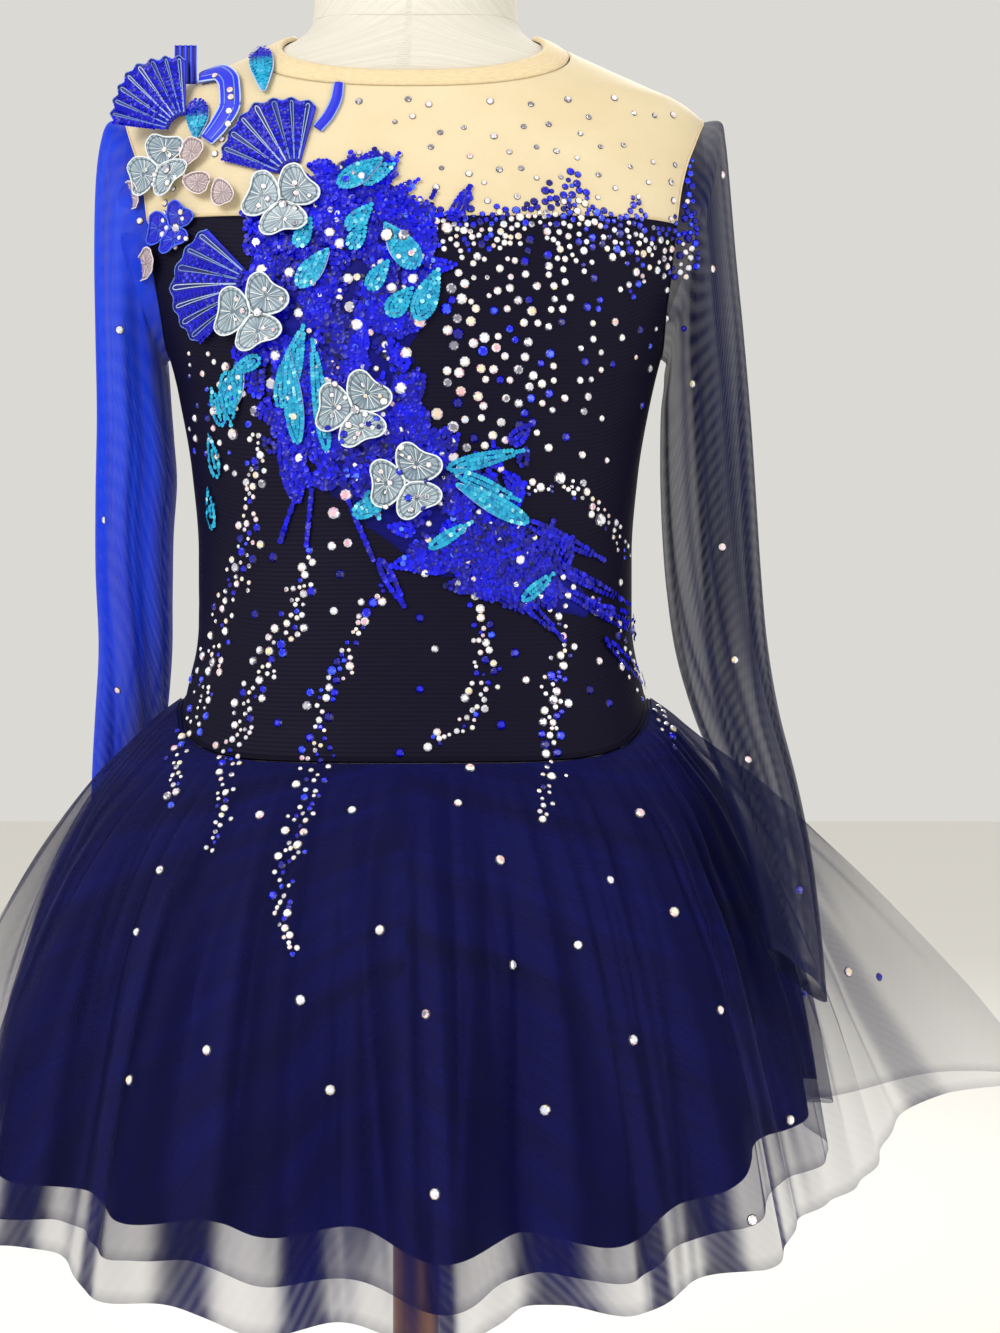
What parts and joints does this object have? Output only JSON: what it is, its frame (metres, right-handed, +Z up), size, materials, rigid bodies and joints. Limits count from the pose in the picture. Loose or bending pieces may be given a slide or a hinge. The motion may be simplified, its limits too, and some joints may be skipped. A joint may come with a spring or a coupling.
{
  "type": "figure skating dress on a limbless dress form with a stand",
  "caption": "Long-sleeved skating dress with a nude yoke, navy bodice, beaded lace, sheer sleeves in different blues and a gathered tulle skirt, on a limbless dress form and stand.",
  "frame": {"origin": "centre of the base's underside, on the floor", "axes": "+Z up, -Y the front of the dress, +X the wearer's left side"},
  "size_m": [0.6669, 0.4209, 1.032],
  "materials": {
    "linen": "plain linen cover, matte",
    "wood": "varnished wood, satin",
    "steel": "brushed",
    "nude_mesh": "nude stretch mesh, semi-sheer",
    "navy_knit": "ribbed stretch knit, slight sheen",
    "navy_tulle": "sheer tulle",
    "blue_mesh": "sheer royal blue mesh",
    "navy_mesh": "sheer navy mesh",
    "royal_sequin": "royal blue sequins on lace",
    "teal_sequin": "teal sequins on lace",
    "silver_lace": "silver corded lace"
  },
  "bodies": {
    "root": {"dress_form": "linen", "stand_base": "wood", "stand_pole": "wood", "stand_flange": "steel", "bodice_front": "navy_knit", "bodice_back": "navy_knit", "yoke_front": "nude_mesh", "yoke_back": "nude_mesh", "neck_band": "nude_mesh", "neck_button": "nude_mesh", "sleeve_left": "navy_mesh", "sleeve_right": "blue_mesh", "skirt_base": "navy_knit", "tulle_under": "navy_tulle", "tulle_top": "navy_tulle", "lace_spray": "royal_sequin", "fan_chest": "royal_sequin", "fan_side": "royal_sequin", "fan_shoulder": "royal_sequin", "shoulder_loop": "royal_sequin", "shoulder_tab": "royal_sequin", "shoulder_stem": "royal_sequin", "shoulder_drop": "teal_sequin", "leaf_neckline": "teal_sequin", "leaf_chest": "teal_sequin", "leaf_bust": "teal_sequin", "leaf_side": "teal_sequin", "leaf_spear": "teal_sequin", "leaf_waist": "teal_sequin", "leaf_shoulder": "teal_sequin", "flower_shoulder": "silver_lace", "flower_upper": "silver_lace", "flower_side": "silver_lace", "flower_middle": "silver_lace", "flower_low": "silver_lace", "flower_beaded": "royal_sequin"}
  },
  "joints": []
}
